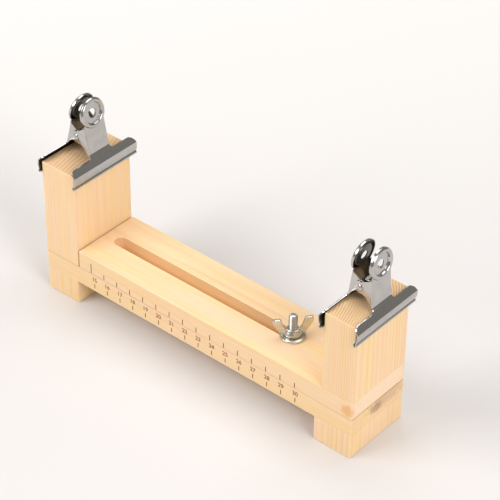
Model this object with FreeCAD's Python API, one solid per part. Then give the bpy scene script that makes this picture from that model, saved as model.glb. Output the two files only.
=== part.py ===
"""Sliding wooden jig for braiding cord bracelets, in millimetres, +Z up.

A lower rail stands on two feet and carries the left post. An upper rail with a long slot slides on it
and carries the right post. A carriage bolt, washer and wing nut clamp the two rails together, and a
sprung sheet-steel clip grips the top of each post.

The origin is the middle of the closed jig's footprint, on the surface that the feet stand on.
+X points from the left post to the right post, and -Y is the front, which carries the scale.
"""
import FreeCAD
import Part
import math
import os

# ---- Rails, feet and posts -------------------------------------------------------------------
BASE_LENGTH = 224.0
RAIL_DEPTH = 45.0
LOWER_RAIL_THICKNESS = 11.5
UPPER_RAIL_THICKNESS = 11.5
FOOT_HEIGHT = 15.5
LEFT_FOOT_WIDTH = 24.0
RIGHT_FOOT_WIDTH = 25.0
LEFT_POST_WIDTH = 25.0
RIGHT_POST_WIDTH = 20.5
POST_RISE = 50.5          # post top above the upper rail
WOOD_EDGE_ROUND = 0.6
SLIDE_END_GAP = 0.7       # upper rail's end to the left post, when closed

# ---- Slot and scale --------------------------------------------------------------------------
SLOT_WIDTH = 8.0
SLOT_MARGIN = 8.0         # wood left between the slot and the upper rail's left end
BOLT_FROM_LEFT_POST = 140.3
BOLT_END_CLEARANCE = 0.5  # bolt to the slot's right end, when closed
SCALE_FIRST_FROM_POST = 10.3
SCALE_PITCH = 10.0
SCALE_COUNT = 16
TICK_WIDTH = 0.6
TICK_DEPTH = 0.3
UPPER_TICK_LENGTH = 3.4
POINTER_TICK_LENGTH = 6.6
LOWER_TICK_LENGTH = 3.0
LOWER_TICK_DROP = 6.2     # seam between the rails down to the lower tick's top
LOWER_SCALE_SHIFT = 2.4   # first lower tick to the right of the first upper one
LOWER_SCALE_PITCH = 9.88

# ---- Clamp -----------------------------------------------------------------------------------
BOLT_DIAMETER = 5.0
BOLT_LENGTH = 35.0        # from under the head
BOLT_END_CHAMFER = 0.6
BOLT_HEAD_DIAMETER = 12.0
BOLT_HEAD_HEIGHT = 2.8
BOLT_HEAD_SEAT = 2.2      # depth of the head's recess in the lower rail
BOLT_NECK_SIZE = 5.2
BOLT_NECK_LENGTH = 3.5
BOLT_HOLE_CLEARANCE = 0.15
HEAD_RECESS_CLEARANCE = 0.5
WASHER_DIAMETER = 14.5
WASHER_THICKNESS = 1.2
NUT_BASE_DIAMETER = 10.0
NUT_TOP_DIAMETER = 8.0
NUT_HEIGHT = 4.6
NUT_RUNNING_CLEARANCE = 0.05
NUT_EDGE_CHAMFER = 0.5
WING_THICKNESS = 2.2
WING_EDGE_ROUND = 0.6
WING_SPAN = 23.0
WING_HEIGHT = 11.3        # wing tip above the nut's base
WING_TIP_WIDTH = 4.2
WING_TURN = 51.0          # degrees from +X at which the tightened wings stand

# ---- Wood screws -----------------------------------------------------------------------------
SCREW_DIAMETER = 4.0
SCREW_HEAD_DIAMETER = 7.6
SCREW_TIP_LENGTH = 4.0
SCREW_CROSS_WIDTH = 1.0
SCREW_CROSS_LENGTH = 4.4
SCREW_CROSS_DEPTH = 1.6
POST_SCREW_LENGTH = 35.0
FOOT_SCREW_LENGTH = 22.0
FOOT_SCREW_SINK = 1.0     # head below the foot's underside
POST_SCREW_SPREAD = 18.0
FOOT_SCREW_SPREAD = 32.0

# ---- Clips, in the frame of one half: out from the pivot pin, and up from it -----------------
CLIP_SHEET = 0.7
CLIP_BEND_RADIUS = 1.2
CLIP_PLATE_OUT = 6.6      # pivot to the plate's inner face
CLIP_NECK_WIDTH = 17.0
CLIP_NECK_BEND = 10.5     # below the pivot
CLIP_BAR_LENGTH = 50.0
CLIP_BAR_TOP = 12.6       # top edge of the wide bar, below the pivot
CLIP_BAR_CORNER = 4.0
CLIP_SHOULDER_RADIUS = 2.5
CLIP_RIDGE_BEYOND = 2.2   # ridge further out than the lip
CLIP_RIDGE_DOWN = 16.4
CLIP_LIP_INSET = 3.9      # lip inside the wider post's face, with the clip's plates upright
CLIP_LIP_DOWN = 24.0
CLIP_LIP_RADIUS = 0.9
LEFT_CLIP_GRASP = 20.1    # half the post's width and the lip's depth below its top, together
RIGHT_CLIP_GRASP = 20.25
CLIP_GRIP_GAP = 0.15      # lip to the post's face
CLIP_SHIFT_X = 0.6        # pivot off the post's middle
LEFT_CLIP_SHIFT_Y = 1.2    # pivot pin's middle behind the post's middle
RIGHT_CLIP_SHIFT_Y = 0.3
EAR_UP = 12.9             # ear's centre above the pivot
EAR_RADIUS = 9.2
EAR_HOLE_RADIUS = 2.5
EAR_FLOOR_RADIUS = 5.2
EAR_RIM_RISE = 1.5
EAR_RIM_WIDTH = 1.2
LUG_BOSS_RADIUS = 3.8
LUG_TOP = 5.6             # lug's root on the plate, above the pivot
LUG_FOOT = 11.6           # lug's root on the plate, below the pivot
LUG_GAP = 0.1             # between the outer and the inner half's lugs
PIN_RADIUS = 1.25
PIN_RUNNING_CLEARANCE = 0.05
PIN_HEAD_RADIUS = 2.0
PIN_HEAD_HEIGHT = 0.6
SPRING_WIRE = 1.0
SPRING_COIL_RADIUS = 2.5  # to the middle of the wire
SPRING_TURNS = 8
SPRING_TURN_STEP = 0.97   # in wire diameters, so that close turns join
SPRING_LEG_UP = 3.2       # leg's end above the pivot
SPRING_LEG_GAP = 0.5      # leg's end to the plate, left for the jaws to open

# ---- Places worked out from the sizes above --------------------------------------------------
LEFT_END = -BASE_LENGTH / 2
RIGHT_END = BASE_LENGTH / 2
FRONT = -RAIL_DEPTH / 2
LEFT_POST_FACE = LEFT_END + LEFT_POST_WIDTH
RIGHT_POST_FACE = RIGHT_END - RIGHT_POST_WIDTH
SEAM_Z = FOOT_HEIGHT + LOWER_RAIL_THICKNESS
SLIDE_TOP_Z = SEAM_Z + UPPER_RAIL_THICKNESS
POST_TOP_Z = SLIDE_TOP_Z + POST_RISE
SLIDE_END = LEFT_POST_FACE + SLIDE_END_GAP
BOLT_X = LEFT_POST_FACE + BOLT_FROM_LEFT_POST
SLOT_LEFT = SLIDE_END + SLOT_MARGIN
SLOT_RIGHT = BOLT_X + BOLT_DIAMETER / 2 + BOLT_END_CLEARANCE
LEFT_POST_MIDDLE = LEFT_END + LEFT_POST_WIDTH / 2
RIGHT_POST_MIDDLE = RIGHT_END - RIGHT_POST_WIDTH / 2
LEFT_FOOT_MIDDLE = LEFT_END + LEFT_FOOT_WIDTH / 2
RIGHT_FOOT_MIDDLE = RIGHT_END - RIGHT_FOOT_WIDTH / 2
WASHER_Z = SLIDE_TOP_Z
NUT_Z = WASHER_Z + WASHER_THICKNESS
CLIP_LIP_OUT = max(LEFT_POST_WIDTH, RIGHT_POST_WIDTH) / 2 - CLIP_LIP_INSET
CLIP_RIDGE_OUT = CLIP_LIP_OUT + CLIP_RIDGE_BEYOND
LEFT_CLIP_BITE = LEFT_CLIP_GRASP - LEFT_POST_WIDTH / 2
RIGHT_CLIP_BITE = RIGHT_CLIP_GRASP - RIGHT_POST_WIDTH / 2
CLIP_GRIPS = {
    "left_clip": (LEFT_POST_MIDDLE, LEFT_POST_WIDTH, LEFT_CLIP_BITE, LEFT_CLIP_SHIFT_Y),
    "right_clip": (RIGHT_POST_MIDDLE, RIGHT_POST_WIDTH, RIGHT_CLIP_BITE, RIGHT_CLIP_SHIFT_Y),
}

X_AXIS = FreeCAD.Vector(1, 0, 0)
Y_AXIS = FreeCAD.Vector(0, 1, 0)
Z_AXIS = FreeCAD.Vector(0, 0, 1)


def point(x, y, z):
    return FreeCAD.Vector(x, y, z)


def box(x0, x1, y0, y1, z0, z1):
    return Part.makeBox(x1 - x0, y1 - y0, z1 - z0, point(x0, y0, z0))


def upright_cylinder(radius, x, y, z0, z1):
    return Part.makeCylinder(radius, z1 - z0, point(x, y, z0), Z_AXIS)


def wood_block(x0, x1, z0, z1):
    """One planed piece of the full depth, with its arrises broken."""
    block = box(x0, x1, FRONT, -FRONT, z0, z1)
    return block.makeFillet(WOOD_EDGE_ROUND, block.Edges)


# ---- Wood screws -----------------------------------------------------------------------------
def screw_envelope(length):
    """A countersunk wood screw with its head at the origin, pointing up, as the wood holds it."""
    shank = SCREW_DIAMETER / 2
    head = SCREW_HEAD_DIAMETER / 2
    cone = head - shank
    outline = [
        point(0, 0, 0),
        point(head, 0, 0),
        point(shank, 0, cone),
        point(shank, 0, length - SCREW_TIP_LENGTH),
        point(0, 0, length),
        point(0, 0, 0),
    ]
    return Part.Face(Part.makePolygon(outline)).revolve(point(0, 0, 0), Z_AXIS, 360)


def wood_screw(length):
    """The screw itself: its envelope less the cross recess in the head."""
    half = SCREW_CROSS_LENGTH / 2
    slot = box(-half, half, -SCREW_CROSS_WIDTH / 2, SCREW_CROSS_WIDTH / 2, 0, SCREW_CROSS_DEPTH)
    crossed = slot.copy()
    crossed.rotate(point(0, 0, 0), Z_AXIS, 90)
    return screw_envelope(length).cut(slot.fuse(crossed))


def screw_places(x, spread, z):
    return [point(x, side * spread / 2, z) for side in (-1, 1)]


def placed(shape, places):
    """Copies of a shape at each place, as separate solids in one compound."""
    copies = []
    for place in places:
        copy = shape.copy()
        copy.translate(place)
        copies.append(copy)
    return Part.makeCompound(copies)


LEFT_POST_SCREWS_AT = screw_places(LEFT_POST_MIDDLE, POST_SCREW_SPREAD, FOOT_HEIGHT)
RIGHT_POST_SCREWS_AT = screw_places(RIGHT_POST_MIDDLE, POST_SCREW_SPREAD, SEAM_Z)
LEFT_FOOT_SCREWS_AT = screw_places(LEFT_FOOT_MIDDLE, FOOT_SCREW_SPREAD, FOOT_SCREW_SINK)
RIGHT_FOOT_SCREWS_AT = screw_places(RIGHT_FOOT_MIDDLE, FOOT_SCREW_SPREAD, FOOT_SCREW_SINK)


def without_screws(wood, length, places):
    """Wood less the room that a row of screws takes up."""
    return wood.cut(placed(screw_envelope(length), places))


def foot(x0, x1, places):
    """A foot block, with each screw's head let in below its underside."""
    block = wood_block(x0, x1, 0, FOOT_HEIGHT)
    for place in places:
        sink = upright_cylinder(SCREW_HEAD_DIAMETER / 2, place.x, place.y, 0, FOOT_SCREW_SINK)
        block = block.cut(sink)
    return without_screws(block, FOOT_SCREW_LENGTH, places)


# ---- Rails and posts -------------------------------------------------------------------------
def tick(x, z_top, length):
    """A groove in the front face, as wide as one burnt line."""
    half = TICK_WIDTH / 2
    return box(x - half, x + half, FRONT, FRONT + TICK_DEPTH, z_top - length, z_top)


def tick_places(first_from_post, pitch):
    first = LEFT_POST_FACE + first_from_post
    return [first + number * pitch for number in range(SCALE_COUNT)]


def lower_rail():
    rail = wood_block(LEFT_END, RIGHT_END, FOOT_HEIGHT, SEAM_Z)
    seat_z = FOOT_HEIGHT + BOLT_HEAD_SEAT
    hole = BOLT_DIAMETER / 2 + BOLT_HOLE_CLEARANCE
    recess = BOLT_HEAD_DIAMETER / 2 + HEAD_RECESS_CLEARANCE
    neck = BOLT_NECK_SIZE / 2
    rail = rail.cut(upright_cylinder(hole, BOLT_X, 0, FOOT_HEIGHT, SEAM_Z))
    rail = rail.cut(upright_cylinder(recess, BOLT_X, 0, FOOT_HEIGHT, seat_z))
    rail = rail.cut(box(BOLT_X - neck, BOLT_X + neck, -neck, neck, seat_z, seat_z + BOLT_NECK_LENGTH))
    rail = without_screws(rail, POST_SCREW_LENGTH, LEFT_POST_SCREWS_AT)
    rail = without_screws(rail, FOOT_SCREW_LENGTH, LEFT_FOOT_SCREWS_AT)
    rail = without_screws(rail, FOOT_SCREW_LENGTH, RIGHT_FOOT_SCREWS_AT)
    for x in tick_places(SCALE_FIRST_FROM_POST + LOWER_SCALE_SHIFT, LOWER_SCALE_PITCH):
        rail = rail.cut(tick(x, SEAM_Z - LOWER_TICK_DROP, LOWER_TICK_LENGTH))
    return rail


def upper_rail():
    rail = wood_block(SLIDE_END, RIGHT_END, SEAM_Z, SLIDE_TOP_Z)
    half = SLOT_WIDTH / 2
    slot = box(SLOT_LEFT + half, SLOT_RIGHT - half, -half, half, SEAM_Z, SLIDE_TOP_Z)
    for x in (SLOT_LEFT + half, SLOT_RIGHT - half):
        slot = slot.fuse(upright_cylinder(half, x, 0, SEAM_Z, SLIDE_TOP_Z))
    rail = rail.cut(slot)
    for number, x in enumerate(tick_places(SCALE_FIRST_FROM_POST, SCALE_PITCH)):
        length = POINTER_TICK_LENGTH if number == 0 else UPPER_TICK_LENGTH
        rail = rail.cut(tick(x, SEAM_Z + WOOD_EDGE_ROUND + length, length))
    return without_screws(rail, POST_SCREW_LENGTH, RIGHT_POST_SCREWS_AT)


def left_post():
    block = wood_block(LEFT_END, LEFT_POST_FACE, SEAM_Z, POST_TOP_Z)
    return without_screws(block, POST_SCREW_LENGTH, LEFT_POST_SCREWS_AT)


def right_post():
    block = wood_block(RIGHT_POST_FACE, RIGHT_END, SLIDE_TOP_Z, POST_TOP_Z)
    return without_screws(block, POST_SCREW_LENGTH, RIGHT_POST_SCREWS_AT)


# ---- Clamp -----------------------------------------------------------------------------------
def carriage_bolt():
    seat_z = FOOT_HEIGHT + BOLT_HEAD_SEAT
    radius = BOLT_DIAMETER / 2
    head = BOLT_HEAD_DIAMETER / 2
    dome_radius = (head ** 2 + BOLT_HEAD_HEIGHT ** 2) / (2 * BOLT_HEAD_HEIGHT)
    dome_centre = point(BOLT_X, 0, seat_z - BOLT_HEAD_HEIGHT + dome_radius)
    dome = Part.makeSphere(dome_radius, dome_centre)
    dome = dome.common(upright_cylinder(head, BOLT_X, 0, seat_z - BOLT_HEAD_HEIGHT, seat_z))
    neck = BOLT_NECK_SIZE / 2
    square = box(BOLT_X - neck, BOLT_X + neck, -neck, neck, seat_z, seat_z + BOLT_NECK_LENGTH)
    end_z = seat_z + BOLT_LENGTH
    shank = upright_cylinder(radius, BOLT_X, 0, seat_z, end_z - BOLT_END_CHAMFER)
    tip = Part.makeCone(
        radius,
        radius - BOLT_END_CHAMFER,
        BOLT_END_CHAMFER,
        point(BOLT_X, 0, end_z - BOLT_END_CHAMFER),
        Z_AXIS,
    )
    return dome.fuse([square, shank, tip]).removeSplitter()


def washer():
    top_z = WASHER_Z + WASHER_THICKNESS
    ring = upright_cylinder(WASHER_DIAMETER / 2, BOLT_X, 0, WASHER_Z, top_z)
    hole = BOLT_DIAMETER / 2 + BOLT_HOLE_CLEARANCE
    return ring.cut(upright_cylinder(hole, BOLT_X, 0, WASHER_Z, top_z))


def nut_wing():
    """One wing along +X, standing on the nut's base at the origin."""
    tip = WING_SPAN / 2
    outline = [
        point(0, 0, WING_EDGE_ROUND),
        point(0.6 * tip, 0, WING_EDGE_ROUND),
        point(tip, 0, WING_HEIGHT - 0.7 * WING_TIP_WIDTH),
        point(tip, 0, WING_HEIGHT - 0.3 * WING_TIP_WIDTH),
        point(tip - 0.3 * WING_TIP_WIDTH, 0, WING_HEIGHT),
        point(tip - WING_TIP_WIDTH, 0, WING_HEIGHT),
        point(NUT_TOP_DIAMETER / 2 - WING_EDGE_ROUND, 0, NUT_HEIGHT - WING_EDGE_ROUND),
        point(0, 0, NUT_HEIGHT - WING_EDGE_ROUND),
    ]
    face = Part.Face(Part.makePolygon(outline + outline[:1]))
    wing = face.extrude(Y_AXIS * WING_THICKNESS)
    wing.translate(Y_AXIS * (-WING_THICKNESS / 2))
    outside = [edge for edge in wing.Edges if edge.BoundBox.XMax > NUT_BASE_DIAMETER / 2]
    return wing.makeFillet(WING_EDGE_ROUND, outside)


def wing_nut():
    base = NUT_BASE_DIAMETER / 2
    top = NUT_TOP_DIAMETER / 2
    hub_outline = [
        point(0, 0, 0),
        point(base - NUT_EDGE_CHAMFER, 0, 0),
        point(base, 0, NUT_EDGE_CHAMFER),
        point(base, 0, 2 * NUT_EDGE_CHAMFER),
        point(top, 0, NUT_HEIGHT - NUT_EDGE_CHAMFER),
        point(top - NUT_EDGE_CHAMFER, 0, NUT_HEIGHT),
        point(0, 0, NUT_HEIGHT),
        point(0, 0, 0),
    ]
    nut = Part.Face(Part.makePolygon(hub_outline)).revolve(point(0, 0, 0), Z_AXIS, 360)
    wing = nut_wing()
    opposite = wing.copy()
    opposite.rotate(point(0, 0, 0), Z_AXIS, 180)
    nut = nut.fuse([wing, opposite])
    bore = BOLT_DIAMETER / 2 + NUT_RUNNING_CLEARANCE
    nut = nut.cut(upright_cylinder(bore, 0, 0, 0, WING_HEIGHT)).removeSplitter()
    nut.rotate(point(0, 0, 0), Z_AXIS, WING_TURN)
    nut.translate(point(BOLT_X, 0, NUT_Z))
    return nut


# ---- Clips -----------------------------------------------------------------------------------
def bent_strip(route, bend_radius, thickness):
    """The XZ face of a strip of sheet whose middle line follows a route of (x, z) points."""
    route = [point(x, 0, z) for x, z in route]
    ways = [(b - a).normalize() for a, b in zip(route, route[1:])]
    normals = [Y_AXIS.cross(way) for way in ways]
    sides = []
    for side in (-thickness / 2, thickness / 2):
        edges = []
        start = route[0] + normals[0] * side
        for corner, way, next_way, normal, next_normal in zip(
            route[1:-1], ways, ways[1:], normals, normals[1:]
        ):
            turn = math.copysign(1.0, normal.dot(next_way))
            reach = bend_radius * math.tan(way.getAngle(next_way) / 2)
            centre = corner - way * reach + normal * (turn * bend_radius)
            radius = bend_radius - turn * side
            arc_start = centre - normal * (turn * radius)
            arc_end = centre - next_normal * (turn * radius)
            arc_middle = centre - (normal + next_normal).normalize() * (turn * radius)
            edges.append(Part.LineSegment(start, arc_start).toShape())
            edges.append(Part.Arc(arc_start, arc_middle, arc_end).toShape())
            start = arc_end
        end = route[-1] + normals[-1] * side
        edges.append(Part.LineSegment(start, end).toShape())
        sides.append((edges, route[0] + normals[0] * side, end))
    (low, low_start, low_end), (high, high_start, high_end) = sides
    closing = [
        Part.LineSegment(low_start, high_start).toShape(),
        Part.LineSegment(low_end, high_end).toShape(),
    ]
    return Part.Face(Part.Wire(Part.__sortEdges__(low + high + closing)))


def clip_blank(neck_width):
    """The outline of one half seen square on, as a prism through its whole thickness."""
    neck = neck_width / 2
    bar = CLIP_BAR_LENGTH / 2
    through = CLIP_RIDGE_OUT + CLIP_LIP_RADIUS + CLIP_SHEET
    bottom = -(CLIP_LIP_DOWN + 2 * CLIP_LIP_RADIUS)
    wide = box(0, through, -bar, bar, bottom, -CLIP_BAR_TOP)
    corners = [
        edge
        for edge in wide.Edges
        if edge.BoundBox.XLength > through / 2 and edge.BoundBox.ZMin > -CLIP_BAR_TOP - CLIP_SHEET
    ]
    wide = wide.makeFillet(CLIP_BAR_CORNER, corners)
    blank = wide.fuse(box(0, through, -neck, neck, -CLIP_BAR_TOP, EAR_UP - EAR_RADIUS + CLIP_SHEET))
    for side in (-1, 1):
        edge_y = side * neck
        out_y = edge_y + side * CLIP_SHOULDER_RADIUS
        shoulder_top = CLIP_SHOULDER_RADIUS - CLIP_BAR_TOP
        shoulder = box(0, through, min(edge_y, out_y), max(edge_y, out_y), -CLIP_BAR_TOP, shoulder_top)
        scoop = Part.makeCylinder(CLIP_SHOULDER_RADIUS, through, point(0, out_y, shoulder_top), X_AXIS)
        blank = blank.fuse(shoulder.cut(scoop))
    return blank


def clip_ear():
    """The round finger grip, a dished disc with a raised rim and a hole in its middle."""
    middle = CLIP_PLATE_OUT + CLIP_SHEET / 2
    crest = middle + EAR_RIM_RISE
    edge = EAR_RADIUS - CLIP_SHEET / 2
    crest_end = edge - EAR_RIM_RISE / 2
    route = [
        (middle, EAR_HOLE_RADIUS),
        (middle, EAR_FLOOR_RADIUS),
        (crest, crest_end - EAR_RIM_WIDTH),
        (crest, crest_end),
        (middle - CLIP_SHEET / 2, edge),
    ]
    profile = bent_strip(route, EAR_RIM_WIDTH / 3, CLIP_SHEET)
    ear = profile.revolve(point(0, 0, 0), X_AXIS, 360)
    ear.translate(Z_AXIS * EAR_UP)
    return ear


def clip_lug(y_inner):
    """One side lug, a flange of the neck that reaches over the pivot pin."""
    root = CLIP_PLATE_OUT + CLIP_SHEET / 2
    boss = LUG_BOSS_RADIUS
    slant = boss / math.sqrt(2)
    edges = [
        Part.LineSegment(point(root, 0, -LUG_FOOT), point(root, 0, LUG_TOP)).toShape(),
        Part.LineSegment(point(root, 0, LUG_TOP), point(0, 0, boss)).toShape(),
        Part.Arc(point(0, 0, boss), point(-boss, 0, 0), point(0, 0, -boss)).toShape(),
        Part.Arc(
            point(0, 0, -boss),
            point(root - slant, 0, -boss - slant / 2),
            point(root, 0, -LUG_FOOT),
        ).toShape(),
    ]
    face = Part.Face(Part.Wire(Part.__sortEdges__(edges)))
    lug = face.extrude(Y_AXIS * CLIP_SHEET)
    lug.translate(Y_AXIS * y_inner)
    return lug


def clip_half(neck_width):
    """One pressed half, standing out along +X from the pivot pin, which runs along Y."""
    plate = CLIP_PLATE_OUT + CLIP_SHEET / 2
    route = [
        (plate, EAR_UP),
        (plate, -CLIP_NECK_BEND),
        (CLIP_RIDGE_OUT, -CLIP_RIDGE_DOWN),
        (CLIP_LIP_OUT, -CLIP_LIP_DOWN),
    ]
    strip = bent_strip(route, CLIP_BEND_RADIUS, CLIP_SHEET).extrude(Y_AXIS * CLIP_BAR_LENGTH)
    strip.translate(Y_AXIS * (-CLIP_BAR_LENGTH / 2))
    half = strip.common(clip_blank(neck_width))
    lip_start = point(CLIP_LIP_OUT, -CLIP_BAR_LENGTH / 2, -CLIP_LIP_DOWN)
    lip = Part.makeCylinder(CLIP_LIP_RADIUS, CLIP_BAR_LENGTH, lip_start, Y_AXIS)
    lug_out = neck_width / 2
    lugs = [clip_lug(lug_out - CLIP_SHEET), clip_lug(-lug_out)]
    half = half.fuse([lip, clip_ear()] + lugs)
    hole_radius = PIN_RADIUS + PIN_RUNNING_CLEARANCE
    hole = Part.makeCylinder(hole_radius, neck_width, point(0, -lug_out, 0), Y_AXIS)
    return half.cut(hole).removeSplitter()


def grip_angle(reach):
    """How far a half turns from upright so that its lip clears a face at that reach, in degrees."""
    lip_middle = reach + CLIP_GRIP_GAP + CLIP_LIP_RADIUS
    arm = math.hypot(CLIP_LIP_OUT, CLIP_LIP_DOWN)
    return math.degrees(math.atan2(CLIP_LIP_DOWN, CLIP_LIP_OUT) - math.acos(lip_middle / arm))


def grip_angles(post_width):
    """The outer and the inner half's angles on a post that the pivot stands a little off."""
    half = post_width / 2
    return grip_angle(half - CLIP_SHIFT_X), grip_angle(half + CLIP_SHIFT_X)


def pivot_place(post_middle, post_width, bite, shift_y):
    """The pivot pin's middle, with the outer half's lip one bite below the post's top."""
    angle = math.radians(grip_angles(post_width)[0])
    lip_drop = CLIP_LIP_DOWN * math.cos(angle) - CLIP_LIP_OUT * math.sin(angle)
    return point(post_middle + CLIP_SHIFT_X, shift_y, POST_TOP_Z - bite + lip_drop)


def clip_pin():
    half = CLIP_NECK_WIDTH / 2
    pin = Part.makeCylinder(PIN_RADIUS, CLIP_NECK_WIDTH, point(0, -half, 0), Y_AXIS)
    for side in (-1, 1):
        under_head = point(0, side * (half + LUG_GAP / 2), 0)
        way = Y_AXIS * side
        head = Part.makeCone(PIN_HEAD_RADIUS, PIN_RADIUS, PIN_HEAD_HEIGHT, under_head, way)
        stub = Part.makeCylinder(PIN_RADIUS, LUG_GAP, point(0, side * half, 0), way)
        pin = pin.fuse([stub, head])
    return pin.removeSplitter()


def spring_leg(side, y, angle):
    """A straight leg from the coil up to the inner face of the half on one side."""
    reach = CLIP_PLATE_OUT - SPRING_LEG_GAP - SPRING_WIRE / 2
    turned = math.radians(angle)
    end_x = reach * math.cos(turned) - SPRING_LEG_UP * math.sin(turned)
    end_z = reach * math.sin(turned) + SPRING_LEG_UP * math.cos(turned)
    start = point(0, y, SPRING_COIL_RADIUS)
    end = point(side * end_x, y, end_z)
    leg = Part.makeCylinder(SPRING_WIRE / 2, (end - start).Length, start, end - start)
    return leg.fuse([Part.makeSphere(SPRING_WIRE / 2, start), Part.makeSphere(SPRING_WIRE / 2, end)])


def clip_spring(outer_angle, inner_angle):
    """A close-wound torsion spring round the pin, with a leg pushing each half's ear outwards."""
    step = SPRING_WIRE * SPRING_TURN_STEP
    first = -step * (SPRING_TURNS - 1) / 2
    turns = []
    for number in range(SPRING_TURNS):
        centre = point(0, first + number * step, 0)
        turns.append(Part.makeTorus(SPRING_COIL_RADIUS, SPRING_WIRE / 2, centre, Y_AXIS))
    legs = [spring_leg(-1, first, inner_angle), spring_leg(1, -first, outer_angle)]
    return turns[0].fuse(turns[1:] + legs)


def clip(post_middle, post_width, bite, shift_y):
    """The four pieces of one clip, gripping a post of the given width."""
    outer_angle, inner_angle = grip_angles(post_width)
    outer = clip_half(CLIP_NECK_WIDTH)
    inner = clip_half(CLIP_NECK_WIDTH - 2 * (CLIP_SHEET + LUG_GAP))
    inner.rotate(point(0, 0, 0), Z_AXIS, 180)
    outer.rotate(point(0, 0, 0), Y_AXIS, -outer_angle)
    inner.rotate(point(0, 0, 0), Y_AXIS, inner_angle)
    pieces = {
        "outer_jaw": outer,
        "inner_jaw": inner,
        "pin": clip_pin(),
        "spring": clip_spring(outer_angle, inner_angle),
    }
    for piece in pieces.values():
        piece.translate(pivot_place(post_middle, post_width, bite, shift_y))
    return pieces


# ---- The whole jig ---------------------------------------------------------------------------
def build():
    nodes = {
        "lower_rail": lower_rail(),
        "left_foot": foot(LEFT_END, LEFT_END + LEFT_FOOT_WIDTH, LEFT_FOOT_SCREWS_AT),
        "right_foot": foot(RIGHT_END - RIGHT_FOOT_WIDTH, RIGHT_END, RIGHT_FOOT_SCREWS_AT),
        "left_post": left_post(),
        "upper_rail": upper_rail(),
        "right_post": right_post(),
        "left_post_screws": placed(wood_screw(POST_SCREW_LENGTH), LEFT_POST_SCREWS_AT),
        "right_post_screws": placed(wood_screw(POST_SCREW_LENGTH), RIGHT_POST_SCREWS_AT),
        "left_foot_screws": placed(wood_screw(FOOT_SCREW_LENGTH), LEFT_FOOT_SCREWS_AT),
        "right_foot_screws": placed(wood_screw(FOOT_SCREW_LENGTH), RIGHT_FOOT_SCREWS_AT),
        "carriage_bolt": carriage_bolt(),
        "washer": washer(),
        "wing_nut": wing_nut(),
    }
    for clip_name, grip in CLIP_GRIPS.items():
        for piece_name, shape in clip(*grip).items():
            nodes[clip_name + "_" + piece_name] = shape
    return nodes


def report_places():
    """Print the places that joints and mounts are set from."""
    print("bolt x %.3f, washer z %.3f, nut z %.3f" % (BOLT_X, WASHER_Z, NUT_Z))
    print("slot from %.3f to %.3f" % (SLOT_LEFT, SLOT_RIGHT))
    print("slide travel %.3f" % (BOLT_X - BOLT_DIAMETER / 2 - SLOT_LEFT))
    for clip_name, grip in CLIP_GRIPS.items():
        pivot = pivot_place(*grip)
        print("%s pivot %.3f %.3f %.3f" % (clip_name, pivot.x, pivot.y, pivot.z))
        print("%s angles %.3f %.3f" % ((clip_name,) + grip_angles(grip[1])))


if __name__ == "__main__":
    os.makedirs("parts", exist_ok=True)
    for node, shape in build().items():
        shape.exportStep("parts/" + node + ".step")
        facts = (node, len(shape.Solids), shape.Volume, shape.isValid())
        print("%-22s %d solid(s) %10.1f mm3 valid %s" % facts)
    report_places()
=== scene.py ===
"""Looks of the sliding braiding jig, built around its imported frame, in metres."""
import math

import bmesh
import bpy
from bpy.props import FloatProperty, FloatVectorProperty, IntProperty, PointerProperty
from mathutils import Matrix, Vector


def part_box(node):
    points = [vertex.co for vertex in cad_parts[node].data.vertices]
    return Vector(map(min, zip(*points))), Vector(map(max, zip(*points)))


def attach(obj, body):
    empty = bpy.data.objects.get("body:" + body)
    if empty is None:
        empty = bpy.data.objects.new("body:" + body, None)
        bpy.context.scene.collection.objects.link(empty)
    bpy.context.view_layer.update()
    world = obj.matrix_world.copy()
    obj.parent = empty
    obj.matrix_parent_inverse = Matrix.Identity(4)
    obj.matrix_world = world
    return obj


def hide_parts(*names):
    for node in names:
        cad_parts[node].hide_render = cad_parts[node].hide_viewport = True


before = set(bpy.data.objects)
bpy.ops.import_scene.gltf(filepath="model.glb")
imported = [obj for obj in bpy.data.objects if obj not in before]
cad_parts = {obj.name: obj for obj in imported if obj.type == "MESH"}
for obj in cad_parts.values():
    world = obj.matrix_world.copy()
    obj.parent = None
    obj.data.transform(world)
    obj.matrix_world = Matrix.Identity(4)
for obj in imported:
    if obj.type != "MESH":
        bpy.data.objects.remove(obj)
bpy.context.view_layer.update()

bl_info = {
    "name": "Sliding Braiding Jig",
    "version": (1, 0, 0),
    "blender": (4, 5, 0),
    "location": "View3D > Sidebar > Braiding Jig",
    "description": "Models and finishes the pieces of a small wooden braiding jig",
    "category": "Object",
}

MM = 0.001


# ---- Places read from the frame ---------------------------------------------------------------
def low(node):
    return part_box(node)[0]


def high(node):
    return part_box(node)[1]


def middle(node):
    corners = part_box(node)
    return (Vector(corners[0]) + Vector(corners[1])) / 2


SEAM_Z = low("upper_rail")[2]
FRONT_Y = low("lower_rail")[1]
POST_FACE_X = high("left_post")[0]
SLIDE_TOP_Z = high("upper_rail")[2]


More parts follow.
